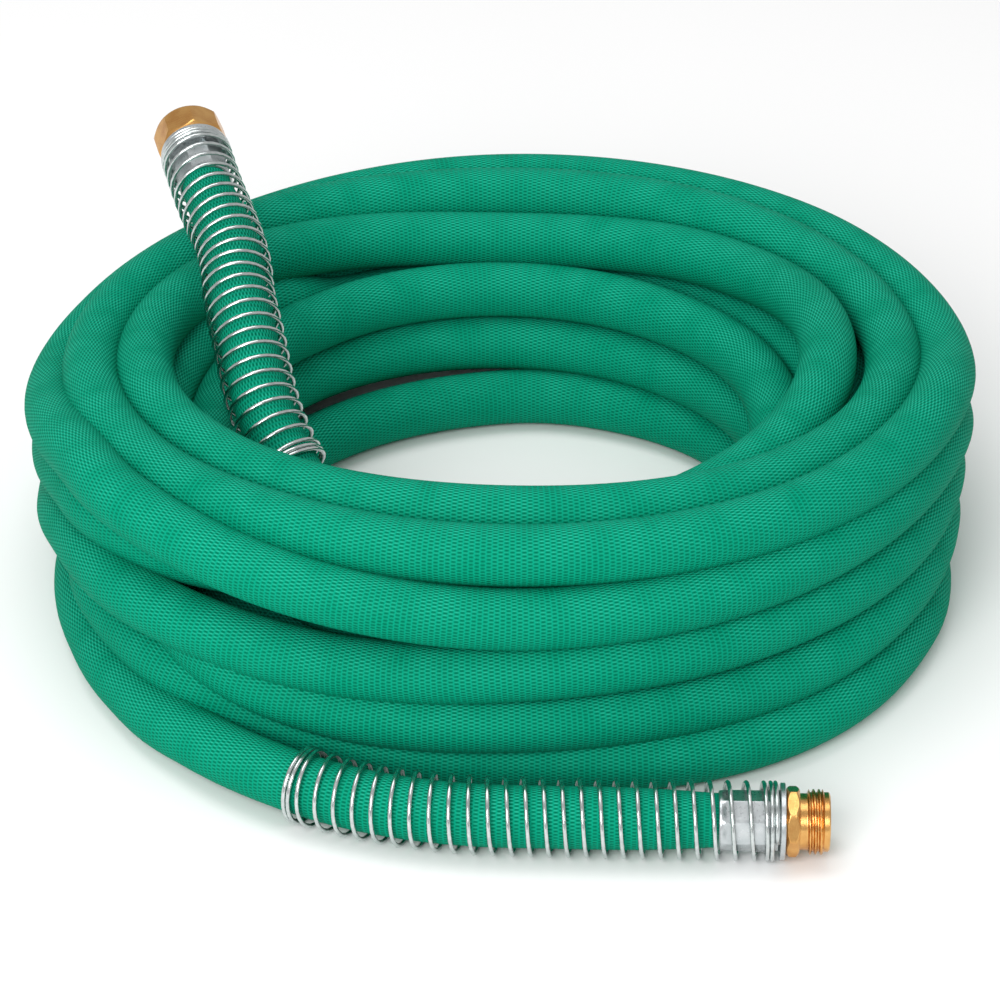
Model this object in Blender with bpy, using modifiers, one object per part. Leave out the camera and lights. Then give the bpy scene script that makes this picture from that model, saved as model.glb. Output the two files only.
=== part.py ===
"""Fabric-jacketed garden hose, 50 ft long, lying in a loose round coil.

Metres, +Z up. The coil stands on z = 0. One end of the hose leaves the coil at the
bottom and lies on the floor in front of it, and ends in the male coupling. The other
end climbs out of the bore, lies over the far rim, and ends in the swivel coupling.
"""
import math

import bmesh
import bpy
import numpy as np
from mathutils import Matrix, Vector

# Hose
HOSE_RADIUS = 0.0130
HOSE_END_RADIUS = 0.0112
END_TAPER_LENGTH = 0.045
TUBE_POINT_STEP = 0.016

# Coil
OUTER_TURN_RADIUS = 0.2015
SIDE_LAYERS = 3
SIDE_COLUMNS = 3
COIL_STEPS = 36
SCALLOP_STEP = 30.0

# Clearance between pieces that touch
SEAT_GAP = 0.0003

# Spring guards
SPRING_WIRE_RADIUS = 0.00095
SPRING_OUTER_RADIUS = 0.01675
SPRING_LENGTH = 0.203
SPRING_PITCH = 0.0076
SPRING_CLOSED_TURNS = 1.5
SPRING_POINTS_PER_TURN = 8

# Ferrules
FERRULE_WALL = 0.0009
FERRULE_LENGTH = 0.0275
FERRULE_FLANGE_RADIUS = 0.0159
FERRULE_FLANGE_THICKNESS = 0.0022

# Brass common to both couplings
WATERWAY_RADIUS = 0.0086
STEM_DEPTH = 0.0100
ROUND_STEPS = 24
OCTAGON_SIDES = 8
OCTAGON_CHAMFER_SLOPE = 30.0
THREAD_PITCH = 0.00221
THREAD_CRESTS = 3
THREAD_CLEARANCE = 0.0002

# Male coupling
MALE_OCTAGON_CORNERS = 0.0299
MALE_OCTAGON_THICKNESS = 0.0055
MALE_NECK_RADIUS = 0.0117
MALE_NECK_LENGTH = 0.0030
MALE_THREAD_RADIUS = 0.0135
MALE_THREAD_DEPTH = 0.0013
MALE_LAND_LENGTH = 0.0029
MALE_LAND_CHAMFER = 0.0006

# Swivel coupling
NUT_OCTAGON_CORNERS = 0.0336
NUT_LIP_THICKNESS = 0.0024
SWIVEL_NECK_RADIUS = 0.0104
SWIVEL_FLANGE_RADIUS = 0.0128
SWIVEL_FLANGE_THICKNESS = 0.0020
WASHER_OUTER_RADIUS = 0.0126
WASHER_INNER_RADIUS = 0.0092
WASHER_THICKNESS = 0.0028

# Lie of the two free ends round the coil. Each place of the male end has its angle in
# degrees and how far it lies outside the outer turn. Each place of the swivel end has its
# angle, how far it lies inside the inner turn, and its height.
MALE_LIE = (
    (-141.0, 0.0133),
    (-131.1, 0.0247),
    (-121.9, 0.0323),
    (-110.8, 0.0376),
    (-98.4, 0.0386),
    (-85.3, 0.0423),
)
MALE_LIFT_POINTS = 2
MALE_MOUTH = (-69.75, 0.0601)
MALE_HEADING = -1.6
SWIVEL_LIE = (
    (-10.0, 0.0145, 0.0131),
    (-34.0, 0.0205, 0.0140),
    (-60.0, 0.0267, 0.0190),
    (-84.0, 0.0273, 0.0300),
    (-106.0, 0.0280, 0.0455),
    (-127.0, 0.0300, 0.0655),
    (-148.0, 0.0345, 0.0895),
    (-175.0, 0.0370, 0.1145),
    (-194.0, 0.0275, 0.1265),
)
SWIVEL_MOUTH = (-212.35, -0.0103, 0.1397)
SWIVEL_HEADING = 105.0
SWIVEL_RISE = 11.0

# Sizes that follow from those above
HOSE_DIAMETER = 2 * HOSE_RADIUS
NEST_RISE = HOSE_DIAMETER * math.cos(math.radians(30))
BOTTOM_TURN_HEIGHT = HOSE_RADIUS * math.cos(math.radians(SCALLOP_STEP / 2))
FIRST_SIDE_HEIGHT = BOTTOM_TURN_HEIGHT + NEST_RISE
TOP_TURN_HEIGHT = FIRST_SIDE_HEIGHT + (SIDE_LAYERS - 1) * HOSE_DIAMETER + NEST_RISE
INNER_TURN_RADIUS = OUTER_TURN_RADIUS - (SIDE_COLUMNS - 1) * HOSE_DIAMETER

FERRULE_BORE_RADIUS = HOSE_END_RADIUS + SEAT_GAP
FERRULE_RADIUS = FERRULE_BORE_RADIUS + FERRULE_WALL
FERRULE_FLANGE_BACK = FERRULE_LENGTH - FERRULE_FLANGE_THICKNESS
STEM_RADIUS = FERRULE_BORE_RADIUS - SEAT_GAP
STEM_START = FERRULE_LENGTH - STEM_DEPTH
HOSE_END_DEPTH = STEM_START - SEAT_GAP
BRASS_START = FERRULE_LENGTH + SEAT_GAP

SPRING_AXIS_RADIUS = SPRING_OUTER_RADIUS - SPRING_WIRE_RADIUS
SPRING_END_DEPTH = FERRULE_FLANGE_BACK - SEAT_GAP - SPRING_WIRE_RADIUS

THREAD_LENGTH = THREAD_CRESTS * THREAD_PITCH
MALE_ROOT_RADIUS = MALE_THREAD_RADIUS - MALE_THREAD_DEPTH
NUT_ROOT_RADIUS = MALE_THREAD_RADIUS + THREAD_CLEARANCE
NUT_CREST_RADIUS = MALE_ROOT_RADIUS + THREAD_CLEARANCE
NUT_LIP_END = BRASS_START + NUT_LIP_THICKNESS
SWIVEL_FLANGE_START = NUT_LIP_END + SEAT_GAP
SWIVEL_FLANGE_END = SWIVEL_FLANGE_START + SWIVEL_FLANGE_THICKNESS
WASHER_START = SWIVEL_FLANGE_END + SEAT_GAP
NUT_THREAD_START = WASHER_START + WASHER_THICKNESS
NUT_END = NUT_THREAD_START + THREAD_LENGTH + THREAD_PITCH / 4

COIL_BACK = OUTER_TURN_RADIUS + BOTTOM_TURN_HEIGHT
MALE_MOUTH_Y = (OUTER_TURN_RADIUS + MALE_MOUTH[1]) * math.sin(math.radians(MALE_MOUTH[0]))
FERRULE_END_Y = MALE_MOUTH_Y + FERRULE_LENGTH * math.sin(math.radians(MALE_HEADING))
COIL_CENTRE_Y = (SPRING_OUTER_RADIUS - FERRULE_END_Y - COIL_BACK) / 2


# Scene
def clear_scene():
    for item in list(bpy.data.objects):
        bpy.data.objects.remove(item, do_unlink=True)


def new_collection(name):
    group = bpy.data.collections.new(name)
    bpy.context.scene.collection.children.link(group)
    return group


def make_material(name, colour, roughness, metallic):
    finish = bpy.data.materials.new(name)
    finish.use_nodes = True
    shader = finish.node_tree.nodes["Principled BSDF"]
    shader.inputs["Base Color"].default_value = (*colour, 1.0)
    shader.inputs["Roughness"].default_value = roughness
    shader.inputs["Metallic"].default_value = metallic
    return finish


clear_scene()
parts = new_collection("garden_hose")
cutters = new_collection("cutters")
fabric = make_material("woven_jacket", (0.0, 0.33, 0.19), 0.75, 0.0)
steel = make_material("plated_steel", (0.78, 0.78, 0.78), 0.25, 1.0)
brass = make_material("brass", (0.83, 0.55, 0.24), 0.25, 1.0)
rubber = make_material("washer_rubber", (0.03, 0.03, 0.03), 0.8, 0.0)

coil_centre = bpy.data.objects.new("coil_centre", None)
coil_centre.location = (0.0, COIL_CENTRE_Y, 0.0)
parts.objects.link(coil_centre)


# Modelling helpers
def add_piece(name, data, finish, frame=None):
    item = bpy.data.objects.new(name, data)
    parts.objects.link(item)
    item.parent = coil_centre
    item.matrix_local = frame if frame else Matrix.Identity(4)
    item.data.materials.append(finish)
    return item


def add_cutter(name, data, frame):
    item = bpy.data.objects.new(name, data)
    cutters.objects.link(item)
    item.parent = coil_centre
    item.matrix_local = frame
    item.hide_render = True
    item.display_type = "WIRE"
    return item


def outline_mesh(name, profile, closed):
    """The (radius, height) points of a turned shape, at +X and clockwise."""
    mesh = bpy.data.meshes.new(name)
    count = len(profile)
    edges = [(i, (i + 1) % count) for i in range(count if closed else count - 1)]
    mesh.from_pydata([(radius, 0.0, height) for radius, height in profile], edges, [])
    return mesh


def turn_about_z(item, steps=ROUND_STEPS):
    screw = item.modifiers.new("Turn", "SCREW")
    screw.axis = "Z"
    screw.steps = steps
    screw.render_steps = steps
    screw.use_merge_vertices = True
    screw.merge_threshold = 0.00001
    screw.use_smooth_shade = False
    return item


def turned_piece(name, profile, finish, frame=None, steps=ROUND_STEPS):
    """A turned piece with a hole through it: the profile is a closed loop."""
    return turn_about_z(add_piece(name, outline_mesh(name, profile, True), finish, frame), steps)


def turned_cutter(name, profile, frame):
    """A solid turned form: the profile starts and ends on the axis."""
    return turn_about_z(add_cutter(name, outline_mesh(name, profile, False), frame))


def octagon_mesh(name, corners, bottom, top):
    mesh = bpy.data.meshes.new(name)
    form = bmesh.new()
    bmesh.ops.create_cone(
        form,
        cap_ends=True,
        segments=OCTAGON_SIDES,
        radius1=corners / 2,
        radius2=corners / 2,
        depth=top - bottom,
        matrix=Matrix.Translation((0, 0, (top + bottom) / 2)),
    )
    form.to_mesh(mesh)
    form.free()
    return mesh


def chamfer_profile(corners, bottom, top):
    """A turned form that takes the corners off both ends of an octagon."""
    end_radius = corners / 2 * math.cos(math.pi / OCTAGON_SIDES) - SEAT_GAP
    full_radius = corners / 2 + SEAT_GAP
    depth = (full_radius - end_radius) * math.tan(math.radians(OCTAGON_CHAMFER_SLOPE))
    return [
        (0.0, top),
        (end_radius, top),
        (full_radius, top - depth),
        (full_radius, bottom + depth),
        (end_radius, bottom),
        (0.0, bottom),
    ]


def apply_boolean(item, form, operation):
    joint = item.modifiers.new(form.name, "BOOLEAN")
    joint.operation = operation
    joint.solver = "EXACT"
    joint.object = form


def round_bar(name, points, radii, finish, resolution):
    """A round bar along a polyline, with its own radius at each point."""
    curve = bpy.data.curves.new(name, "CURVE")
    curve.dimensions = "3D"
    curve.bevel_depth = max(radii)
    curve.bevel_resolution = resolution
    curve.use_fill_caps = True
    spline = curve.splines.new("POLY")
    spline.points.add(len(points) - 1)
    for knot, place, radius in zip(spline.points, points, radii):
        knot.co = (*place, 1.0)
        knot.radius = radius / curve.bevel_depth
    return add_piece(name, curve, finish)


def axis_frame(origin, axis):
    turn = Vector(axis).to_track_quat("Z", "Y")
    return Matrix.Translation(origin) @ turn.to_matrix().to_4x4()


# Routes of the free ends
def heading(angle, rise=0.0):
    turn = math.radians(angle)
    slope = math.radians(rise)
    flat = math.cos(slope)
    return np.array([flat * math.cos(turn), flat * math.sin(turn), math.sin(slope)])


def run_lengths(points):
    steps = np.linalg.norm(np.diff(points, axis=0), axis=1)
    return np.concatenate([[0.0], np.cumsum(steps)])


def smooth_route(points, step):
    """A Catmull-Rom curve through the points, sampled at an even spacing."""
    knots = np.array(points, dtype=float)
    knots = np.vstack([2 * knots[0] - knots[1], knots, 2 * knots[-1] - knots[-2]])
    share = np.linspace(0, 1, 40, endpoint=False)[:, None]
    spans = []
    for a, b, c, d in zip(knots[:-3], knots[1:-2], knots[2:-1], knots[3:]):
        cubic = 3 * b - 3 * c + d - a
        square = 2 * a - 5 * b + 4 * c - d
        spans.append(b + 0.5 * ((c - a) * share + square * share**2 + cubic * share**3))
    fine = np.vstack(spans + [knots[-2]])
    travelled = run_lengths(fine)
    wanted = np.linspace(0, travelled[-1], max(2, round(travelled[-1] / step) + 1))
    return np.column_stack([np.interp(wanted, travelled, fine[:, k]) for k in range(3)])


def into_ferrule(points, mouth, axis, depth):
    """The route, straight for a ferrule's length before its mouth and to a depth inside."""
    return [*points, mouth - axis * FERRULE_LENGTH, mouth, mouth + axis * depth]


def round_coil(angle, radius, height):
    turn = math.radians(angle)
    return np.array([radius * math.cos(turn), radius * math.sin(turn), height])


def male_lie():
    lift = np.minimum(np.arange(len(MALE_LIE)) / MALE_LIFT_POINTS, 1.0)
    heights = HOSE_RADIUS + (SPRING_OUTER_RADIUS - HOSE_RADIUS) * lift
    points = []
    for (angle, outside), height in zip(MALE_LIE, heights):
        points.append(round_coil(angle, OUTER_TURN_RADIUS + outside, height))
    angle, outside = MALE_MOUTH
    mouth = round_coil(angle, OUTER_TURN_RADIUS + outside, SPRING_OUTER_RADIUS)
    return points, mouth, heading(MALE_HEADING)


def swivel_lie():
    points = []
    for angle, inside, height in (*SWIVEL_LIE, SWIVEL_MOUTH):
        points.append(round_coil(angle, INNER_TURN_RADIUS - inside, height))
    return points[:-1], points[-1], heading(SWIVEL_HEADING, SWIVEL_RISE)


# Coil
def turn_centres():
    """Centres of the outermost turns in the section, clockwise from the inner top one."""
    nested = [INNER_TURN_RADIUS + HOSE_RADIUS + k * HOSE_DIAMETER for k in range(SIDE_COLUMNS - 1)]
    layers = [FIRST_SIDE_HEIGHT + k * HOSE_DIAMETER for k in range(SIDE_LAYERS)]
    top_row = [(radius, TOP_TURN_HEIGHT) for radius in nested]
    outer_column = [(OUTER_TURN_RADIUS, height) for height in reversed(layers)]
    bottom_row = [(radius, BOTTOM_TURN_HEIGHT) for radius in reversed(nested)]
    inner_column = [(INNER_TURN_RADIUS, height) for height in layers]
    return top_row + outer_column + bottom_row + inner_column


def direction_between(start, end):
    return math.degrees(math.atan2(end[1] - start[1], end[0] - start[0]))


def coil_profile():
    """Outline of the packed turns: each outer turn shows between its two neighbours."""
    centres = turn_centres()
    points = []
    for i, centre in enumerate(centres):
        first = direction_between(centre, centres[i - 1]) - SCALLOP_STEP / 2
        last = direction_between(centre, centres[(i + 1) % len(centres)]) + SCALLOP_STEP / 2
        chords = round((first - last) % 360 / SCALLOP_STEP)
        for k in range(chords + 1):
            angle = math.radians(first - k * SCALLOP_STEP)
            reach = HOSE_RADIUS * math.cos(angle)
            points.append((centre[0] + reach, centre[1] + HOSE_RADIUS * math.sin(angle)))
    return points


def build_coil():
    turned_piece("hose_coil", coil_profile(), fabric, steps=COIL_STEPS)


# Free ends of the hose
def build_tail(name, points, mouth, axis):
    route = smooth_route(into_ferrule(points, mouth, axis, HOSE_END_DEPTH), TUBE_POINT_STEP)
    to_end = run_lengths(route[::-1])[::-1]
    share = np.clip((to_end - HOSE_END_DEPTH) / END_TAPER_LENGTH, 0, 1)
    radii = HOSE_END_RADIUS + (HOSE_RADIUS - HOSE_END_RADIUS) * share
    round_bar(name, route, radii, fabric, 2)


# Spring guards
def wire_travel():
    """How far along the hose the wire has come at each of its points."""
    closed_pitch = 2 * SPRING_WIRE_RADIUS + SEAT_GAP
    closed_length = SPRING_CLOSED_TURNS * closed_pitch
    open_length = SPRING_LENGTH - 2 * SPRING_WIRE_RADIUS - 2 * closed_length
    open_turns = round(open_length / SPRING_PITCH)
    turns = np.cumsum([0, SPRING_CLOSED_TURNS, open_turns, SPRING_CLOSED_TURNS])
    lengths = np.cumsum([0, closed_length, open_length, closed_length])
    at = np.arange(round(turns[-1] * SPRING_POINTS_PER_TURN) + 1) / SPRING_POINTS_PER_TURN
    return at, np.interp(at, turns, lengths)


def build_spring(name, points, mouth, axis):
    """Wind the wire round the hose, from the ferrule's flange back."""
    path = smooth_route(into_ferrule(points, mouth, axis, SPRING_END_DEPTH), 0.002)[::-1]
    travelled = run_lengths(path)
    ahead = np.gradient(path, travelled, axis=0)
    wire = []
    for turn, travel in zip(*wire_travel()):
        place = [np.interp(travel, travelled, path[:, k]) for k in range(3)]
        along = Vector([np.interp(travel, travelled, ahead[:, k]) for k in range(3)]).normalized()
        side = along.cross(Vector((0, 0, 1))).normalized()
        up = side.cross(along)
        angle = 2 * math.pi * turn
        offset = math.sin(angle) * side - math.cos(angle) * up
        wire.append(Vector(place) + SPRING_AXIS_RADIUS * offset)
    round_bar(name, wire, [SPRING_WIRE_RADIUS] * len(wire), steel, 1)


# Ferrules
def build_ferrule(name, frame):
    profile = [
        (FERRULE_BORE_RADIUS, FERRULE_LENGTH),
        (FERRULE_FLANGE_RADIUS, FERRULE_LENGTH),
        (FERRULE_FLANGE_RADIUS, FERRULE_FLANGE_BACK),
        (FERRULE_RADIUS, FERRULE_FLANGE_BACK),
        (FERRULE_RADIUS, 0.0),
        (FERRULE_BORE_RADIUS, 0.0),
    ]
    turned_piece(name, profile, steel, frame)


# Male coupling
def thread_outline(crest, root, top):
    """Ridges down a threaded wall, one for each turn of the thread."""
    points = []
    for k in range(THREAD_CRESTS):
        peak = top - (k + 0.5) * THREAD_PITCH
        points.append((root, peak + 0.45 * THREAD_PITCH))
        points.append((crest, peak + 0.12 * THREAD_PITCH))
        points.append((crest, peak - 0.12 * THREAD_PITCH))
        points.append((root, peak - 0.45 * THREAD_PITCH))
    return points


def build_male_fitting(frame):
    octagon_end = BRASS_START + MALE_OCTAGON_THICKNESS
    thread_start = octagon_end + MALE_NECK_LENGTH
    thread_end = thread_start + THREAD_LENGTH
    tip = thread_end + MALE_LAND_LENGTH
    inside_octagon = BRASS_START + MALE_OCTAGON_THICKNESS / 2
    body = [
        (0.0, tip),
        (MALE_ROOT_RADIUS - MALE_LAND_CHAMFER, tip),
        (MALE_ROOT_RADIUS, tip - MALE_LAND_CHAMFER),
        *thread_outline(MALE_THREAD_RADIUS, MALE_ROOT_RADIUS, thread_end),
        (MALE_NECK_RADIUS, thread_start),
        (MALE_NECK_RADIUS, inside_octagon),
        (STEM_RADIUS, inside_octagon),
        (STEM_RADIUS, STEM_START),
        (0.0, STEM_START),
    ]
    past_ends = FERRULE_LENGTH
    waterway = [
        (0.0, tip + past_ends),
        (WATERWAY_RADIUS, tip + past_ends),
        (WATERWAY_RADIUS, STEM_START - past_ends),
        (0.0, STEM_START - past_ends),
    ]
    chamfer = chamfer_profile(MALE_OCTAGON_CORNERS, BRASS_START, octagon_end)
    octagon = octagon_mesh("male_fitting", MALE_OCTAGON_CORNERS, BRASS_START, octagon_end)
    fitting = add_piece("male_fitting", octagon, brass, frame)
    apply_boolean(fitting, turned_cutter("male_chamfer_form", chamfer, frame), "INTERSECT")
    apply_boolean(fitting, turned_cutter("male_body_form", body, frame), "UNION")
    apply_boolean(fitting, turned_cutter("male_waterway_cutter", waterway, frame), "DIFFERENCE")


# Swivel coupling
def build_swivel_stem(frame):
    profile = [
        (WATERWAY_RADIUS, SWIVEL_FLANGE_END),
        (SWIVEL_FLANGE_RADIUS, SWIVEL_FLANGE_END),
        (SWIVEL_FLANGE_RADIUS, SWIVEL_FLANGE_START),
        (SWIVEL_NECK_RADIUS, SWIVEL_FLANGE_START),
        (SWIVEL_NECK_RADIUS, FERRULE_LENGTH),
        (STEM_RADIUS, FERRULE_LENGTH),
        (STEM_RADIUS, STEM_START),
        (WATERWAY_RADIUS, STEM_START),
    ]
    turned_piece("swivel_stem", profile, brass, frame)


def build_coupling_nut(frame):
    past_ends = FERRULE_LENGTH
    cavity = [
        (0.0, NUT_END + past_ends),
        (NUT_ROOT_RADIUS, NUT_END + past_ends),
        *thread_outline(NUT_CREST_RADIUS, NUT_ROOT_RADIUS, NUT_THREAD_START + THREAD_LENGTH),
        (NUT_ROOT_RADIUS, NUT_LIP_END),
        (SWIVEL_NECK_RADIUS + SEAT_GAP, NUT_LIP_END),
        (SWIVEL_NECK_RADIUS + SEAT_GAP, BRASS_START - past_ends),
        (0.0, BRASS_START - past_ends),
    ]
    chamfer = chamfer_profile(NUT_OCTAGON_CORNERS, BRASS_START, NUT_END)
    octagon = octagon_mesh("coupling_nut", NUT_OCTAGON_CORNERS, BRASS_START, NUT_END)
    nut = add_piece("coupling_nut", octagon, brass, frame)
    apply_boolean(nut, turned_cutter("nut_chamfer_form", chamfer, frame), "INTERSECT")
    apply_boolean(nut, turned_cutter("nut_cavity_cutter", cavity, frame), "DIFFERENCE")


def build_washer(frame):
    end = WASHER_START + WASHER_THICKNESS - SEAT_GAP
    profile = [
        (WASHER_INNER_RADIUS, end),
        (WASHER_OUTER_RADIUS, end),
        (WASHER_OUTER_RADIUS, WASHER_START),
        (WASHER_INNER_RADIUS, WASHER_START),
    ]
    turned_piece("hose_washer", profile, rubber, frame)


build_coil()
for end_name, (lie_points, lie_mouth, lie_axis) in (("male", male_lie()), ("swivel", swivel_lie())):
    end_frame = axis_frame(lie_mouth, lie_axis)
    build_tail(f"{end_name}_tail", lie_points, lie_mouth, lie_axis)
    build_spring(f"{end_name}_spring_guard", lie_points, lie_mouth, lie_axis)
    build_ferrule(f"{end_name}_ferrule", end_frame)
    if end_name == "male":
        build_male_fitting(end_frame)
    else:
        build_swivel_stem(end_frame)
        build_coupling_nut(end_frame)
        build_washer(end_frame)
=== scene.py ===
import math

import bmesh
import bpy
import numpy as np
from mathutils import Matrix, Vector


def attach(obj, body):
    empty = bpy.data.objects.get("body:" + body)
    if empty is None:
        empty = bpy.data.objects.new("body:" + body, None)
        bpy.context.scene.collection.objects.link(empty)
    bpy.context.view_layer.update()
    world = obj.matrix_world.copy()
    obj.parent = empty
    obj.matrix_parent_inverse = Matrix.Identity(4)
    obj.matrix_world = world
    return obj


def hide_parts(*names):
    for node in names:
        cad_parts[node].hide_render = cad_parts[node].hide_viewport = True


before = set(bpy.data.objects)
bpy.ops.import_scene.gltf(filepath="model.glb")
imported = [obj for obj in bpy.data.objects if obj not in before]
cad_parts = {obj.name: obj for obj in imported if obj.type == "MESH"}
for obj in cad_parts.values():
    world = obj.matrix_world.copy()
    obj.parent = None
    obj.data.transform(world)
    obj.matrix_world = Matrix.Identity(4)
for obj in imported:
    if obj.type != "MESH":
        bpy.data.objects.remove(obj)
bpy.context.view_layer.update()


# Camera and studio
# A long lens two metres off looks down on the coil, which lies on a white table under a wide
# soft light overhead and a second one in front to the left.
COIL_CENTRE = Vector((0.0, 0.02445, 0.0))
AIM_HEIGHT = 0.022
CAMERA_DISTANCE = 2.0
CAMERA_ELEVATION = math.radians(31.3)
CAMERA_LENS = 156.6
CAMERA_SHIFT = 0.0015

aim = COIL_CENTRE + Vector((0.0, 0.0, AIM_HEIGHT))
look_from = Vector((0.0, -math.cos(CAMERA_ELEVATION), math.sin(CAMERA_ELEVATION)))
camera_data = bpy.data.cameras.new("camera")
camera_data.lens = CAMERA_LENS
camera_data.sensor_width = 36.0
camera_data.shift_x = CAMERA_SHIFT
camera_data.clip_end = 20.0
camera = bpy.data.objects.new("camera", camera_data)
camera.location = aim + look_from * CAMERA_DISTANCE
camera.rotation_euler = look_from.to_track_quat("Z", "Y").to_euler()
bpy.context.scene.collection.objects.link(camera)
bpy.context.scene.camera = camera


def soft_light(name, place, target, width, power):
    lamp = bpy.data.lights.new(name, "AREA")
    lamp.shape = "DISK"
    lamp.size = width
    lamp.energy = power
    item = bpy.data.objects.new(name, lamp)
    item.location = Vector(place)
    item.rotation_euler = (Vector(place) - Vector(target)).to_track_quat("Z", "Y").to_euler()
    bpy.context.scene.collection.objects.link(item)


soft_light("overhead_light", (-0.3, 0.1, 2.0), aim, 1.4, 12.0)
soft_light("front_light", (-0.7, -2.2, 1.5), aim, 1.6, 52.0)

studio = bpy.data.worlds.new("studio")
studio.use_nodes = True
studio.node_tree.nodes["Background"].inputs["Color"].default_value = (1.0, 1.0, 1.0, 1.0)
studio.node_tree.nodes["Background"].inputs["Strength"].default_value = 0.6
bpy.context.scene.world = studio
bpy.context.scene.view_settings.view_transform = "Standard"


class Value:
    """One socket of a material, so that sums on it read as sums."""

    def __init__(self, tree, socket):
        self.tree = tree
        self.socket = socket

    def node(self, kind, settings=None, inputs=None, output=0):
        made = self.tree.nodes.new(kind)
        for name, setting in (settings or {}).items():
            setattr(made, name, setting)
        for name, given in (inputs or {}).items():
            if isinstance(given, Value):
                self.tree.links.new(given.socket, made.inputs[name])
            else:
                made.inputs[name].default_value = given
        return Value(self.tree, made.outputs[output])

    def maths(self, operation, *values):
        return self.node("ShaderNodeMath", {"operation": operation}, dict(enumerate(values)))

    def __add__(self, other):
        return self.maths("ADD", self, other)

    def __sub__(self, other):
        return self.maths("SUBTRACT", self, other)

    def __mul__(self, other):
        return self.maths("MULTIPLY", self, other)

    def __truediv__(self, other):
        return self.maths("DIVIDE", self, other)

    def __rsub__(self, other):
        return self.maths("SUBTRACT", other, self)

    __radd__ = __add__
    __rmul__ = __mul__

    def blend(self, low, high):
        """The colour low where this is 0, and high where it is 1."""
        low, high = (c if isinstance(c, Value) else (*c, 1.0) for c in (low, high))
        return self.node("ShaderNodeMix", {"data_type": "RGBA"}, {0: self, 6: low, 7: high}, 2)

    def ramp(self, low, high):
        """0 below low and 1 above high."""
        return self.node("ShaderNodeMapRange", None, {0: self, 1: low, 2: high})


class Finish:
    """A material with its shader, and the places on the surface that its pattern starts from."""

    def __init__(self, name, **constants):
        self.material = bpy.data.materials.new(name)
        self.material.use_nodes = True
        self.tree = self.material.node_tree
        self.shader = self.tree.nodes["Principled BSDF"]
        for socket, setting in constants.items():
            self.shader.inputs[socket.replace("_", " ")].default_value = setting
        start = Value(self.tree, None)
        self.along = start.node("ShaderNodeSeparateXYZ", None,
                                {0: start.node("ShaderNodeUVMap", {"uv_map": "metres"})})
        self.around = Value(self.tree, self.along.socket.node.outputs[1])
        self.place = start.node("ShaderNodeTexCoord", output=3)

    def feed(self, **values):
        for socket, value in values.items():
            self.tree.links.new(value.socket, self.shader.inputs[socket.replace("_", " ")])

    def noise(self, scale, detail=2.0, at=None):
        """A cloudy value round 0.5, with the scale in features a metre."""
        return self.place.node("ShaderNodeTexNoise", None,
                               {"Vector": at or self.place, "Scale": scale, "Detail": detail})

    def raised(self, height, depth):
        """The bump of a height between 0 and 1 that stands depth metres tall."""
        self.feed(Normal=height.node("ShaderNodeBump", None,
                                     {"Height": height, "Distance": depth, "Strength": 1.0}))


# Table
# The hose lies on a plain matt white table that runs out of the picture on every side. The
# table is no part of the object.
TABLE_HALF = 4.0

table_mesh = bpy.data.meshes.new("table")
table_mesh.from_pydata([(-TABLE_HALF, -TABLE_HALF, 0), (TABLE_HALF, -TABLE_HALF, 0),
                        (TABLE_HALF, TABLE_HALF, 0), (-TABLE_HALF, TABLE_HALF, 0)],
                       [], [(0, 1, 2, 3)])
table = bpy.data.objects.new("table", table_mesh)
bpy.context.scene.collection.objects.link(table)
white_table = Finish("white_table", Base_Color=(0.96, 0.96, 0.96, 1.0), Roughness=0.6)
table_mesh.materials.append(white_table.material)


# Hose
# One 15.24 m length of rubber hose in a woven polyester jacket, 26 mm across, crimped in the
# ferrules at both ends. It is wound by hand, so each turn wanders over the turns under it. The
# rows below give angle round the coil, radius and height in mm, turn by turn.
HOSE_RADIUS = 0.0130
HOSE_END_RADIUS = 0.0112
HOSE_END_DEPTH = 0.0172
END_TAPER_LENGTH = 0.045
BORE_RADIUS = 0.0095
BORE_SEEN = 0.05
BORE_LIP = 0.004
SPRING_OUTER_RADIUS = 0.01675
MALE_MOUTH = Vector((0.09054, -0.22099, 0.01675))
MALE_AXIS = Vector((0.99961, -0.027922, 0.0))
SWIVEL_MOUTH = Vector((-0.135, 0.10995, 0.1397))
SWIVEL_AXIS = Vector((-0.254064, 0.948179, 0.190809))
MALE_END_LIE = (
    (-85.3, 243.8, 16.75), (-98.4, 240.1, 16.75), (-106, 237, 16.75), (-115, 231.5, 16.75),
    (-120, 228, 16.3), (-126, 223, 15), (-130.5, 220, 13.8), (-137.3, 214, 13), (-144, 209, 13),
    (-150, 204, 13), (-155.4, 200.5, 13), (-163.4, 195, 13), (-173.7, 187.5, 13),
    (-185, 179, 13), (-200, 175, 13), (-225, 175, 13), (-270, 179, 13), (-315, 177, 13),
    (-360, 180, 13), (-371, 195, 13), (-377, 199, 13), (-383.5, 203, 13), (-390, 205, 13),
    (-396, 207.5, 13), (-403, 210, 13), (-412, 211, 13), (-427, 208, 13), (-450, 194, 13))
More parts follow.
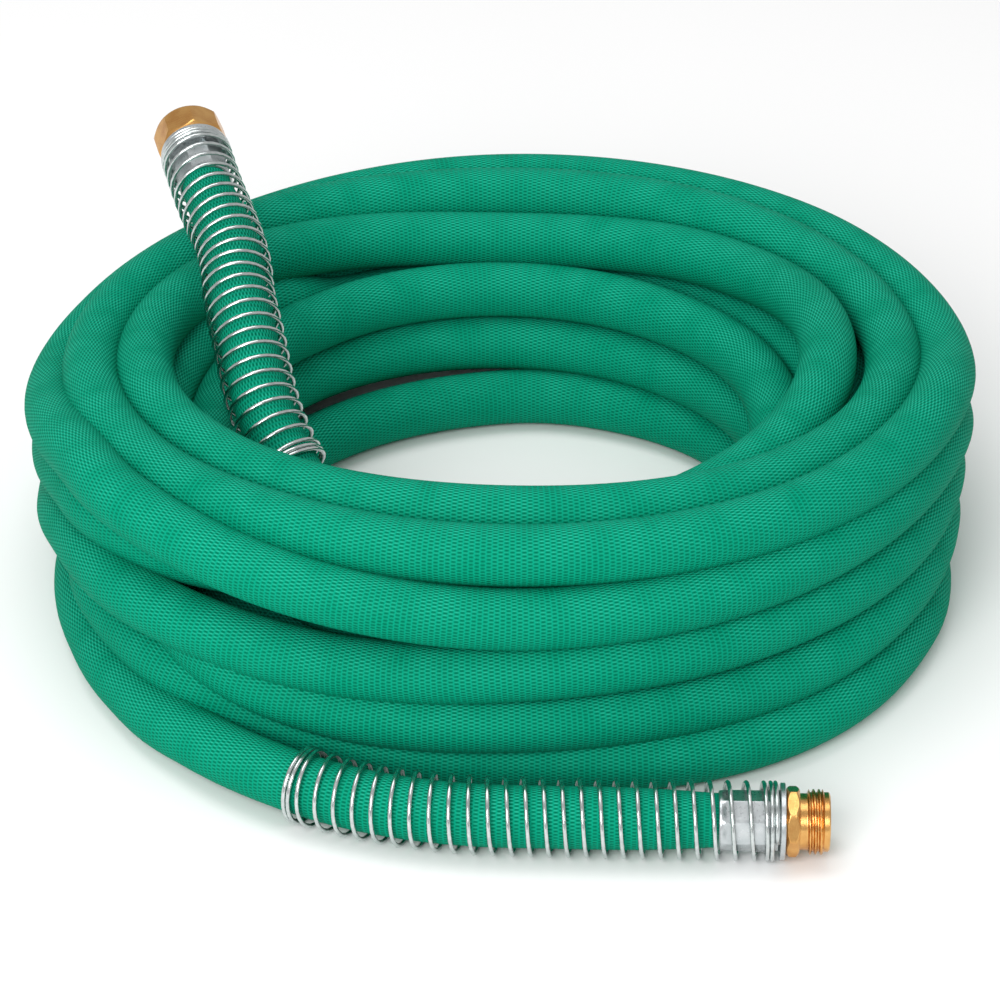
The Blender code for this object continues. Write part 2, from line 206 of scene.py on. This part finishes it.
TURNS = (
    ((-10, 196, 14.5), (-20, 196, 16.5), (-30, 200, 21.5), (-35, 204, 26.5), (-40, 206, 31),
     (-45, 206, 33.5), (-50, 204, 34), (-55, 202, 34.5), (-60, 200, 36), (-65, 196, 37),
     (-70, 187, 37.5), (-75, 179, 37.5), (-90, 168, 36), (-135, 170, 38),
     (-180, 172.5, 37.5), (-225, 174, 38), (-270, 175, 38), (-315, 170, 20),
     (-360, 168, 13)),
    ((-45, 158, 14), (-90, 147, 20), (-135, 147, 23), (-180, 148, 25), (-225, 150, 26),
     (-270, 152, 27), (-315, 160, 34), (-360, 176, 37)),
    ((-45, 162, 42), (-90, 149, 47), (-135, 158, 55), (-180, 177, 62), (-225, 176, 63),
     (-270, 175, 63), (-315, 176, 62), (-360, 176, 62)),
    ((-45, 162, 70), (-90, 150, 75), (-135, 148, 66), (-180, 152, 51), (-225, 151, 61),
     (-270, 152, 77), (-315, 164, 83), (-360, 176, 87)),
    ((-30, 188, 87), (-45, 198, 84), (-58, 204, 84), (-65, 201, 81), (-70, 200, 77),
     (-75, 199, 71), (-80, 198.5, 65.5), (-90, 198.5, 58), (-135, 199, 42),
     (-180, 199, 37.5), (-225, 200, 40), (-270, 198.5, 49), (-281, 199.5, 59),
     (-300, 202, 61.5), (-330, 201.5, 62), (-360, 201.5, 61)),
    ((-10, 201.5, 58), (-20, 204, 57.5), (-30, 209, 60.5), (-40, 212, 63), (-50, 211, 63),
     (-55, 209, 62.5), (-60, 206, 60), (-65, 203, 57), (-70, 201.5, 53.5), (-75, 199.5, 49),
     (-80, 197.5, 43), (-90, 196, 34.5), (-135, 200, 17), (-180, 205, 13), (-225, 202, 13),
     (-250, 198.5, 18), (-270, 196, 27), (-281, 198.5, 37), (-290, 201, 38),
     (-300, 203.4, 38.5), (-315, 205, 36), (-360, 201.5, 35.5)),
    ((-10, 203, 36), (-20, 204, 37), (-30, 206, 42), (-37, 205, 46), (-45, 198, 50),
     (-55, 186, 54), (-90, 172, 62), (-135, 190, 62),
     (-180, 205, 61.5), (-225, 203, 63), (-270, 201, 71), (-281, 201.5, 82),
     (-290, 201, 85), (-300, 201, 87), (-330, 201.5, 87), (-360, 201.5, 87)),
    ((-30, 206, 97), (-52, 209.5, 106), (-62, 203, 102.5), (-70, 201, 96.5),
     (-80, 200, 89.5), (-90, 199.5, 83), (-135, 195, 80.5), (-180, 199, 84.5),
     (-225, 200.5, 89), (-270, 201, 96), (-283, 200.5, 103), (-315, 197, 107),
     (-360, 188.5, 110)),
    ((-45, 187, 108), (-90, 182.6, 98), (-135, 177, 93), (-180, 174, 90), (-225, 176, 94),
     (-270, 178, 98), (-315, 172, 107), (-360, 162.5, 113)),
    ((-45, 161, 109), (-90, 159, 100), (-135, 154, 90), (-180, 150, 78), (-225, 150, 88),
     (-270, 148, 103), (-315, 148, 98), (-360, 149.5, 88)),
    ((-45, 144, 80), (-90, 127, 69), (-135, 127, 64), (-180, 131, 61), (-225, 128, 63),
     (-270, 126, 68), (-315, 138, 66), (-360, 150, 62)),
    ((-45, 143, 55), (-90, 127, 44), (-135, 125, 38), (-180, 125, 35.5), (-225, 125, 37),
     (-270, 127, 42), (-315, 136, 39), (-360, 150, 36)),
    ((-45, 141, 29), (-90, 122, 15), (-136, 108.5, 13), (-170, 108, 13), (-190, 113, 13),
     (-210, 117.5, 13), (-227, 122.6, 13), (-262, 131.5, 13), (-280, 135, 13.1),
     (-304, 129, 14), (-330, 122.8, 19), (-354, 122.2, 30), (-376, 121.5, 45.5),
     (-397, 119.5, 65.5), (-418, 115, 89.5), (-445, 112.5, 114.5), (-464, 122, 126.5)))
FIRST_FRONT = -450.0
SECTION_STEP = 3.0
RELAX_ROUNDS = 400
TURN_SPACING = 25.2
PUSH_SHARE = 0.6
HOLD_SEEN = 0.6
HOLD_HIDDEN = 0.04
HIDDEN_SPAN = (340, 420, 1380, 1460)
SMOOTHING = 0.15
MALE_END_FIXED = 165
SWIVEL_END_FIXED = 260
END_GIVE = 0.1
ROUTE_ROUNDS = 3
RINGS = 2400
HOSE_SIDES = 40


def smooth_values(at, places, values):
    """A curve through the values with no kinks, read at the places given."""
    places, values = np.asarray(places, float), np.asarray(values, float)
    gap = np.diff(places)
    slope = np.diff(values, axis=0) / gap[:, None]
    lean = np.empty_like(values)
    lean[0], lean[-1] = slope[0], slope[-1]
    lean[1:-1] = ((slope[:-1] * gap[1:, None] + slope[1:] * gap[:-1, None])
                  / (gap[1:] + gap[:-1])[:, None])
    i = np.clip(np.searchsorted(places, at) - 1, 0, len(gap) - 1)
    t = ((at - places[i]) / gap[i])[:, None]
    h = gap[i][:, None]
    return ((2 * t**3 - 3 * t**2 + 1) * values[i] + (t**3 - 2 * t**2 + t) * h * lean[i]
            + (-2 * t**3 + 3 * t**2) * values[i + 1] + (t**3 - t**2) * h * lean[i + 1])


def settle_turns(angles, chosen):
    """Lets the turns push each other apart in every section of the coil.

    The turns that show keep close to their rows, and the hidden ones give way to them. Hidden
    are those in HIDDEN_SPAN, in degrees wound from the first front, with a gradual change at
    each side. The two free ends stay where their rows put them.
    """
    turn = round(360 / SECTION_STEP)
    hold = np.interp(FIRST_FRONT - angles, HIDDEN_SPAN,
                     (HOLD_SEEN, HOLD_HIDDEN, HOLD_HIDDEN, HOLD_SEEN))[:, None]
    last_front = FIRST_FRONT - 360 * (len(TURNS) - 1)
    fixed = (angles > -MALE_END_FIXED) | (angles < last_front - SWIVEL_END_FIXED)
    lie = chosen.copy()
    for _ in range(RELAX_ROUNDS):
        push = np.zeros_like(lie)
        for k in range(1, len(lie) // turn + 1):
            apart = lie[turn * k:] - lie[:-turn * k]
            reach = np.linalg.norm(apart, axis=1, keepdims=True) + 1e-9
            step = apart / reach * np.maximum(TURN_SPACING - reach, 0) / 2
            push[:-turn * k] -= step
            push[turn * k:] += step
        lie = lie + PUSH_SHARE * push
        lie = lie + hold * (chosen - lie)
        lie[1:-1] = (1 - 2 * SMOOTHING) * lie[1:-1] + SMOOTHING * (lie[:-2] + lie[2:])
        lie[:, 1] = np.maximum(lie[:, 1], 1000 * HOSE_RADIUS)
        lie[fixed] = (1 - END_GIVE) * chosen[fixed] + END_GIVE * lie[fixed]
    return lie


def run_lengths(points):
    """How far along a line each of its points lies."""
    return np.concatenate([[0], np.cumsum(np.linalg.norm(np.diff(points, axis=0), axis=1))])


def even_route(points, count):
    """The same line in evenly spaced points."""
    for _ in range(ROUTE_ROUNDS):
        run = run_lengths(points)
        points = smooth_values(np.linspace(0, run[-1], max(count, len(points))), run, points)
    run = run_lengths(points)
    return smooth_values(np.linspace(0, run[-1], count), run, points)


stations = list(MALE_END_LIE)
for k, rows in enumerate(TURNS):
    stations += [(FIRST_FRONT - 360 * k + angle, radius, height) for angle, radius, height in rows]
stations = np.array(stations)
angles = np.arange(-87.0, stations[-1, 0], -SECTION_STEP)
chosen = smooth_values(-angles, -stations[:, 0], stations[:, 1:])
lie = settle_turns(angles, chosen) / 1000
turned = np.radians(angles)
coil_points = np.column_stack([lie[:, 0] * np.cos(turned),
                               lie[:, 0] * np.sin(turned) + COIL_CENTRE.y, lie[:, 1]])
hose_route = even_route(np.vstack([
    MALE_MOUTH + MALE_AXIS * HOSE_END_DEPTH, MALE_MOUTH, coil_points,
    SWIVEL_MOUTH, SWIVEL_MOUTH + SWIVEL_AXIS * HOSE_END_DEPTH]), RINGS)


def level_frames(points):
    """For each point of a line: its direction, a level direction across it and the third one."""
    ahead = np.gradient(points, axis=0)
    ahead /= np.linalg.norm(ahead, axis=1, keepdims=True)
    across = np.cross((0.0, 0.0, 1.0), ahead)
    across /= np.linalg.norm(across, axis=1, keepdims=True)
    return ahead, across, np.cross(ahead, across)


def grid_object(name, points, along, around, material, closed_ends=True):
    """A skin over rings of points, with its surface measured in metres both ways."""
    rings, sides = points.shape[:2]
    mesh = bpy.data.meshes.new(name)
    ring, side = np.meshgrid(np.arange(rings - 1), np.arange(sides), indexing="ij")
    after = (side + 1) % sides
    faces = np.stack([ring * sides + side, ring * sides + after,
                      (ring + 1) * sides + after, (ring + 1) * sides + side], -1).reshape(-1, 4)
    caps = [list(range(sides))[::-1], list(range((rings - 1) * sides, rings * sides))]
    mesh.from_pydata(points.reshape(-1, 3).tolist(), [], faces.tolist() + caps * closed_ends)
    across = np.broadcast_to(around, (rings, sides + 1))
    corners = np.stack([
        np.stack([along[ring], across[ring, side]], -1),
        np.stack([along[ring], across[ring, side + 1]], -1),
        np.stack([along[ring + 1], across[ring + 1, side + 1]], -1),
        np.stack([along[ring + 1], across[ring + 1, side]], -1)], 2).reshape(-1, 2)
    layer = np.zeros((len(mesh.loops), 2), np.float32)
    layer[:len(corners)] = corners
    mesh.uv_layers.new(name="metres").data.foreach_set("uv", layer.ravel())
    mesh.polygons.foreach_set("use_smooth", np.ones(len(mesh.polygons), bool))
    mesh.materials.append(material)
    item = bpy.data.objects.new(name, mesh)
    bpy.context.scene.collection.objects.link(item)
    return item


hose_run = run_lengths(hose_route)
to_an_end = np.minimum(hose_run, hose_run[-1] - hose_run)
share = np.clip((to_an_end - HOSE_END_DEPTH) / END_TAPER_LENGTH, 0, 1)
hose_radius = HOSE_END_RADIUS + (HOSE_RADIUS - HOSE_END_RADIUS) * np.sin(share * math.pi / 2)
_, hose_across, hose_up = level_frames(hose_route)
side_angle = np.arange(HOSE_SIDES) * 2 * math.pi / HOSE_SIDES
hose_ring = (np.cos(side_angle)[None, :, None] * hose_across[:, None]
             + np.sin(side_angle)[None, :, None] * hose_up[:, None])
hose_skin = hose_route[:, None] + hose_radius[:, None, None] * hose_ring

# The black bore shows a little way in, through each coupling.
deep = int(np.searchsorted(hose_run, BORE_SEEN))
bore_skin = (hose_route[:, None] + BORE_RADIUS * hose_ring)[[deep, 0, -1, -1 - deep]]
hose_skin = np.concatenate([bore_skin[:2], hose_skin, bore_skin[2:]])
hose_along = np.concatenate([[-BORE_SEEN, -BORE_LIP], hose_run,
                             [hose_run[-1] + BORE_LIP, hose_run[-1] + BORE_SEEN]])

RIB_PITCH = 0.0023
PICK_ROWS = 102
pick_pitch = 2 * math.pi * HOSE_RADIUS / PICK_ROWS

jacket = Finish("woven_jacket", Specular_IOR_Level=0.03)
rib = jacket.along / RIB_PITCH
pick = jacket.around / pick_pitch
rib_place = rib.maths("FRACT", rib) - 0.5
pick_place = pick.maths("FRACT", pick) - 0.5
crossing = rib.maths("FLOOR", rib) + pick.maths("FLOOR", pick)
over = crossing.maths("FLOORED_MODULO", crossing, 2.0)
rib_edge = rib_place * rib_place * 4.0
pick_edge = pick_place * pick_place * 4.0
knot = (1.0 - rib_edge) * (1.0 - pick_edge)
hollow = (1.0 - over) * knot
dot = over * knot
tint = jacket.noise(9.0, 3.0)
# Patchy noise that sets how strongly the painted highlight shows on each dot.
highlight_patches = jacket.noise(60.0, 2.0)
green = tint.ramp(0.35, 0.65).blend((0.0, 0.222, 0.121), (0.0, 0.248, 0.139))
# How far the surface faces up; it makes the painted highlight on the dots stronger on top-facing
# parts.
upward = jacket.place.node("ShaderNodeSeparateXYZ", None, {
    0: jacket.place.node("ShaderNodeNewGeometry", output=1)}, 2).ramp(0.1, 0.95)
thread = rib_edge.ramp(0.25, 0.95).blend(green, (0.001, 0.300, 0.182))
# Painted highlight: the raised dots of the weave are lightened to mint, a little everywhere and
# most on top-facing parts, where the overhead light would glint.
thread = (dot * highlight_patches.ramp(0.2, 0.6) * (0.35 + 0.65 * upward)).blend(thread, (0.025, 0.450, 0.305))
# Painted shade: the hollows between the raised dots of the weave are darkened.
thread = hollow.ramp(0.1, 0.9).blend(thread, (0.0, 0.135, 0.075))
lining = (jacket.along * -1.0).ramp(0.001, 0.002) + jacket.along.ramp(
    hose_run[-1] + 0.001, hose_run[-1] + 0.002)
jacket.feed(Base_Color=lining.blend(thread, (0.008, 0.008, 0.008)), Roughness=0.72 - 0.16 * dot)
jacket.raised(rib_edge * 0.45 + dot * 0.55 - hollow * 0.5 + 0.5, 0.00025)

hose = grid_object("hose", hose_skin, hose_along,
                   np.arange(HOSE_SIDES + 1) * 2 * math.pi * HOSE_RADIUS / HOSE_SIDES,
                   jacket.material)
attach(hose, "hose")
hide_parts("hose_coil", "male_tail", "swivel_tail")


# Spring guards
# An open spring of bright plated wire, 1.9 mm thick, over each end of the hose. It stops the
# hose kinking at the ferrule. Two closed turns at each end bear on the ferrule's flange and
# hold the spring's shape.
WIRE_RADIUS = 0.00095
SPRING_BACK = 0.1777
SPRING_FRONT = 0.0250
SPRING_PITCH = 0.0076
CLOSED_TURNS = 2
LEAD_IN = 0.01
LINE_SPARE = 0.06
LINE_POINTS = 400
CLOSED_GAP = 0.0001
PITCH_CHANGE = 0.3 * SPRING_PITCH
POINTS_PER_TURN = 26
WIRE_SIDES = 10

plated = Finish("spring_steel", Metallic=1.0)
streak = plated.noise(400.0, 2.0)
plated.feed(Base_Color=streak.ramp(0.3, 0.7).blend((0.50, 0.54, 0.54), (0.66, 0.70, 0.69)),
            Roughness=0.13 + 0.12 * streak)


def spring_guard(name, route, mouth, axis, node):
    """A wire wound right-handed round the line of the hose, from inside its ferrule's flange."""
    near = route[run_lengths(route) < SPRING_BACK + LINE_SPARE]
    line = np.vstack([mouth + axis * (SPRING_FRONT + LEAD_IN), mouth + axis * HOSE_END_DEPTH,
                      near[3:]])
    line = even_route(line, LINE_POINTS)
    run = run_lengths(line) - LEAD_IN
    ahead, across, up = level_frames(line)
    closed = 2 * WIRE_RADIUS + CLOSED_GAP
    open_length = SPRING_FRONT + SPRING_BACK - 2 * WIRE_RADIUS - 2 * CLOSED_TURNS * closed
    open_turns = open_length / SPRING_PITCH
    turns = np.cumsum([0, CLOSED_TURNS, 0.5, open_turns - 0.5, CLOSED_TURNS])
    lengths = WIRE_RADIUS + np.cumsum([0, CLOSED_TURNS * closed, PITCH_CHANGE,
                                       open_length - PITCH_CHANGE, CLOSED_TURNS * closed])
    count = round(turns[-1] * POINTS_PER_TURN)
    turn = np.linspace(0, turns[-1], count)
    length = np.interp(turn, turns, lengths)

    def at(values):
        return np.column_stack([np.interp(length, run, values[:, i]) for i in range(3)])

    centre, right, rise = at(line), at(across), at(up)
    radius = SPRING_OUTER_RADIUS - WIRE_RADIUS
    swing = (turn * 2 * math.pi)[:, None]
    wire = centre + radius * (np.cos(swing) * right + np.sin(swing) * rise)
    forward = np.gradient(wire, axis=0)
    forward /= np.linalg.norm(forward, axis=1, keepdims=True)
    outward = wire - centre
    outward /= np.linalg.norm(outward, axis=1, keepdims=True)
    aside = np.cross(forward, outward)
    angle = np.arange(WIRE_SIDES) * 2 * math.pi / WIRE_SIDES
    skin = wire[:, None] + WIRE_RADIUS * (np.cos(angle)[None, :, None] * outward[:, None]
                                          + np.sin(angle)[None, :, None] * aside[:, None])
    item = grid_object(name, skin, run_lengths(wire),
                       np.arange(WIRE_SIDES + 1) * 2 * math.pi * WIRE_RADIUS / WIRE_SIDES,
                       plated.material)
    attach(item, "hose")
    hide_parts(node)


spring_guard("male_spring", hose_route, np.array(MALE_MOUTH), np.array(MALE_AXIS),
             "male_spring_guard")
spring_guard("swivel_spring", hose_route[::-1], np.array(SWIVEL_MOUTH), np.array(SWIVEL_AXIS),
             "swivel_spring_guard")


# Ferrules
# A plated steel sleeve over each end of the hose, crimped on to the brass stem by eight jaws
# that leave flat panels with a ridge between them. Its flange holds the spring.
FERRULE_RADIUS = 0.0124
FERRULE_INNER = 0.01150
FERRULE_FLANGE = 0.0159
FLANGE_BACK = 0.0253
FERRULE_END = 0.0275
JAWS = 8
JAWS_TURNED = math.radians(16)
JAW_START = 0.0012
JAW_END = 0.0228
JAW_EASE = 0.0018
JAW_SWELL = 1.012
JAW_FLATNESS = 0.9
RIDGE_HEIGHT = 0.016
RIDGE_WIDTH = 0.06
TURNED_SIDES = 96
SHARP_EDGE = math.radians(32)

turned_angle = np.arange(TURNED_SIDES) * 2 * math.pi / TURNED_SIDES


def facing(axis):
    """The directions across an axis: level, and the one square to both."""
    ahead = np.array(axis)
    across = np.cross((0.0, 0.0, 1.0), ahead)
    across /= np.linalg.norm(across)
    return ahead, across, np.cross(ahead, across)


def turned_object(name, mouth, axis, outline, material, shape=None):
    """A piece turned round the axis from (distance, radius) pairs that run round its section."""
    outline = np.array(outline)
    radius = np.repeat(outline[:, 1:], TURNED_SIDES, 1)
    if shape:
        radius = shape(outline[:, :1], turned_angle[None], radius)
    ahead, across, up = facing(axis)
    direction = np.cos(turned_angle)[:, None] * across + np.sin(turned_angle)[:, None] * up
    points = (np.array(mouth) + outline[:, 0][:, None, None] * ahead
              + radius[:, :, None] * direction[None])
    points = np.concatenate([points, points[:1]])
    run = run_lengths(np.vstack([outline, outline[:1]]))
    around = np.arange(TURNED_SIDES + 1) * 2 * math.pi * outline[:, 1].max() / TURNED_SIDES
    item = grid_object(name, points, run, around, material, closed_ends=False)
    form = bmesh.new()
    form.from_mesh(item.data)
    bmesh.ops.remove_doubles(form, verts=form.verts, dist=1e-7)
    bmesh.ops.recalc_face_normals(form, faces=form.faces)
    for edge in form.edges:
        if len(edge.link_faces) == 2 and edge.calc_face_angle() > SHARP_EDGE:
            edge.smooth = False
    form.to_mesh(item.data)
    form.free()
    return item


def spans(*corners, step=0.0003):
    """Points along straight lines between (distance, radius) corners."""
    points = [corners[0]]
    for start, end in zip(corners, corners[1:]):
        pieces = max(1, round(math.dist(start, end) / step))
        points += [(start[0] + (end[0] - start[0]) * k / pieces,
                    start[1] + (end[1] - start[1]) * k / pieces) for k in range(1, pieces + 1)]
    return points


satin = Finish("ferrule_steel", Metallic=1.0)
brushed = satin.noise(900.0, 3.0)
stain = satin.noise(120.0, 3.0)
satin.feed(Base_Color=stain.ramp(0.3, 0.7).blend((0.46, 0.50, 0.51), (0.64, 0.67, 0.68)),
           Roughness=0.20 + 0.2 * brushed)
satin.raised(brushed, 0.00003)


def crimped(distance, angle, radius):
    """The jaws' flat panels: strongest halfway along, none on the flange."""
    bite = (np.clip((distance - JAW_START) / JAW_EASE, 0, 1)
            * np.clip((JAW_END - distance) / JAW_EASE, 0, 1))
    panel = ((angle - JAWS_TURNED) * JAWS / (2 * math.pi)) % 1 - 0.5
    flat = (np.cos(math.pi / JAWS * JAW_FLATNESS)
            / np.cos(panel * 2 * math.pi / JAWS * JAW_FLATNESS))
    ridge = 1 + RIDGE_HEIGHT * np.exp(-((0.5 - np.abs(panel)) / RIDGE_WIDTH) ** 2)
    outside = radius > FERRULE_INNER + 0.0002
    return np.where(outside, radius * (1 + bite * (JAW_SWELL * flat * ridge - 1)), radius)


for name, mouth, axis in (("male_ferrule", MALE_MOUTH, MALE_AXIS),
                          ("swivel_ferrule", SWIVEL_MOUTH, SWIVEL_AXIS)):
    sleeve = turned_object(
        name + "_crimped", mouth, axis,
        spans((0.0, FERRULE_INNER), (0.0002, FERRULE_RADIUS - 0.0002), (0.0006, FERRULE_RADIUS),
              (0.0245, FERRULE_RADIUS), (FLANGE_BACK, FERRULE_RADIUS + 0.0006),
              (FLANGE_BACK, FERRULE_FLANGE - 0.0003), (FLANGE_BACK + 0.0003, FERRULE_FLANGE),
              (FERRULE_END - 0.0003, FERRULE_FLANGE), (FERRULE_END, FERRULE_FLANGE - 0.0003),
              (FERRULE_END, FERRULE_INNER), step=0.0006),
        satin.material, crimped)
    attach(sleeve, "hose")
    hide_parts(name)


# Male coupling
# Machined from one octagon bar of brass: a stem crimped in the hose, the octagon for a
# spanner, a neck and the standard garden hose thread with a plain land at its end.
STEM_START = 0.0175
STEM_RADIUS = 0.0108
WATERWAY = 0.0086
BRASS_START = 0.0278
MALE_OCTAGON = 0.0299
MALE_OCTAGON_END = 0.0333
NECK_RADIUS = 0.0117
THREAD_RADIUS = 0.0135
THREAD_DEPTH = 0.0013
THREAD_PITCH = 0.00221
THREAD_START = 0.0363
THREAD_END = 0.0428
MALE_TIP = 0.04583
THREAD_FLANK = 1.9
THREAD_RUN_OUT = 0.3
CORNER_SHARPNESS = 90

brass = Finish("brass", Metallic=1.0)
lathe_marks = brass.noise(1.0, 2.0, brass.along.node(
    "ShaderNodeCombineXYZ", None, {0: brass.along * 9000.0, 1: brass.around * 120.0}))
tarnish = brass.noise(140.0, 4.0)
brass.feed(Base_Color=tarnish.ramp(0.35, 0.7).blend((0.74, 0.42, 0.14), (0.56, 0.27, 0.08)),
           Roughness=0.13 + 0.14 * lathe_marks + 0.10 * tarnish)
brass.raised(lathe_marks, 0.00002)


def octagon_radius(angle, corners):
    """The outline of an eight-sided bar with slightly broken corners."""
    flat = corners / 2 * math.cos(math.pi / 8)
    faces = np.arange(8) * math.pi / 4 + math.pi / 8
    towards = np.maximum(np.cos(angle[..., None] - faces), 0)
    return flat / np.sum(towards ** CORNER_SHARPNESS, -1) ** (1 / CORNER_SHARPNESS)


def helix(distance, angle, start, end, pitch, depth):
    """How deep a right-hand thread is cut, fading out at both ends."""
    turn = (distance / pitch - angle / (2 * math.pi)) % 1
    groove = np.clip(0.5 + THREAD_FLANK * (np.abs(turn - 0.5) * 2 - 0.5), 0, 1)
    run_out = THREAD_RUN_OUT * pitch
    fade = (np.clip((distance - start) / run_out, 0, 1)
            * np.clip((end - distance) / run_out, 0, 1))
    return depth * groove * fade


def male_shape(distance, angle, radius):
    octagon = octagon_radius(angle, MALE_OCTAGON)
    inside = radius < WATERWAY + 0.0002
    is_bar = (distance >= BRASS_START - 1e-6) & (distance <= MALE_OCTAGON_END + 1e-6)
    bar = np.minimum(radius, octagon)
    cut = radius - helix(distance, angle, THREAD_START, THREAD_END, THREAD_PITCH, THREAD_DEPTH)
    threaded = (distance > THREAD_START) & (distance < THREAD_END)
    return np.where(inside, radius, np.where(is_bar, bar, np.where(threaded, cut, radius)))


CHAMFER_RUN = 0.0016
bar_corner = MALE_OCTAGON / 2 + 0.0001
bar_flat = MALE_OCTAGON / 2 * math.cos(math.pi / 8) - 0.0004
male_outline = spans(
    (STEM_START, WATERWAY), (STEM_START, STEM_RADIUS), (BRASS_START, STEM_RADIUS),
    (BRASS_START, bar_flat), (BRASS_START + CHAMFER_RUN, bar_corner),
    (MALE_OCTAGON_END - CHAMFER_RUN, bar_corner), (MALE_OCTAGON_END, bar_flat),
    (MALE_OCTAGON_END, NECK_RADIUS), (THREAD_START, NECK_RADIUS),
    (THREAD_START + 0.0008, THREAD_RADIUS), (THREAD_END, THREAD_RADIUS),
    (THREAD_END + 0.0006, THREAD_RADIUS - 0.0012), (MALE_TIP - 0.0006, THREAD_RADIUS - 0.0012),
    (MALE_TIP, THREAD_RADIUS - 0.0018), (MALE_TIP, WATERWAY), step=0.00018)
male_coupling = turned_object("male_coupling", MALE_MOUTH, MALE_AXIS, male_outline,
                              brass.material, male_shape)
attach(male_coupling, "hose")
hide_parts("male_fitting")


# Swivel stem
# A short brass stem, turned on a lathe and crimped in the other end of the hose. The flange at
# its end holds the nut, which turns freely behind it.
SWIVEL_NECK = 0.0104
STEM_FLANGE = 0.0128
STEM_FLANGE_START = 0.0305
STEM_FLANGE_END = 0.0325

stem = turned_object(
    "swivel_stem_turned", SWIVEL_MOUTH, SWIVEL_AXIS,
    spans((STEM_START, WATERWAY), (STEM_START, STEM_RADIUS), (FERRULE_END, STEM_RADIUS),
          (FERRULE_END, SWIVEL_NECK), (STEM_FLANGE_START, SWIVEL_NECK),
          (STEM_FLANGE_START, STEM_FLANGE - 0.0002), (STEM_FLANGE_START + 0.0002, STEM_FLANGE),
          (STEM_FLANGE_END - 0.0002, STEM_FLANGE), (STEM_FLANGE_END, STEM_FLANGE - 0.0002),
          (STEM_FLANGE_END, WATERWAY), step=0.0006), brass.material)
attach(stem, "hose")
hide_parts("swivel_stem")


# Coupling nut
# An octagon nut of brass with the matching female thread. Its lip turns on the stem behind
# the flange, so that it can be screwed on while the hose stays still.
NUT_OCTAGON = 0.0336
NUT_LIP_END = 0.0302
NUT_BORE = 0.0107
NUT_SEAT = 0.0131
NUT_THREAD_START = 0.0358
NUT_THREAD_ROOT = 0.0138
NUT_THREAD_CREST = 0.0124
NUT_END = 0.04278
NUT_CHAMFER = 0.0026


def nut_shape(distance, angle, radius):
    outside = radius > NUT_THREAD_ROOT + 0.0004
    threaded = (distance > NUT_THREAD_START) & (distance < NUT_END - 0.0002) & ~outside
    ridge = NUT_THREAD_ROOT - NUT_THREAD_CREST
    cut = radius + helix(distance, angle, NUT_THREAD_START, NUT_END - 0.0002, THREAD_PITCH, ridge)
    return np.where(outside, np.minimum(radius, octagon_radius(angle, NUT_OCTAGON)),
                    np.where(threaded, cut, radius))


nut_corner = NUT_OCTAGON / 2 + 0.0001
nut_flat = NUT_OCTAGON / 2 * math.cos(math.pi / 8) - 0.0004
nut = turned_object(
    "brass_nut", SWIVEL_MOUTH, SWIVEL_AXIS,
    spans((BRASS_START, NUT_BORE), (BRASS_START, nut_flat),
          (BRASS_START + NUT_CHAMFER, nut_corner), (NUT_END - NUT_CHAMFER, nut_corner),
          (NUT_END, nut_flat), (NUT_END, NUT_THREAD_ROOT), (NUT_END - 0.0012, NUT_THREAD_CREST),
          (NUT_THREAD_START, NUT_THREAD_CREST), (NUT_THREAD_START, NUT_SEAT),
          (NUT_LIP_END, NUT_SEAT), (NUT_LIP_END, NUT_BORE), step=0.00022),
    brass.material, nut_shape)
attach(nut, "swivel_nut")
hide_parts("coupling_nut")


# Hose washer
# A moulded ring of black rubber, pushed into the nut against the stem's flange. The thread of
# the tap presses on it and makes the joint tight.
WASHER_START = 0.0328
WASHER_END = 0.0356
WASHER_OUTER = 0.0126
WASHER_INNER = 0.0092

rubber = Finish("washer_rubber", Specular_IOR_Level=0.4)
dust = rubber.noise(700.0, 3.0)
rubber.feed(Base_Color=dust.ramp(0.4, 0.7).blend((0.012, 0.012, 0.012), (0.035, 0.034, 0.032)),
            Roughness=0.55 + 0.25 * dust)
rubber.raised(dust, 0.00004)

washer = turned_object(
    "rubber_washer", SWIVEL_MOUTH, SWIVEL_AXIS,
    spans((WASHER_START + 0.0003, WASHER_INNER), (WASHER_START, WASHER_INNER + 0.0003),
          (WASHER_START, WASHER_OUTER - 0.0003), (WASHER_START + 0.0003, WASHER_OUTER),
          (WASHER_END - 0.0003, WASHER_OUTER), (WASHER_END, WASHER_OUTER - 0.0003),
          (WASHER_END, WASHER_INNER + 0.0003), (WASHER_END - 0.0003, WASHER_INNER), step=0.0006),
    rubber.material)
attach(washer, "swivel_nut")
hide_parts("hose_washer")
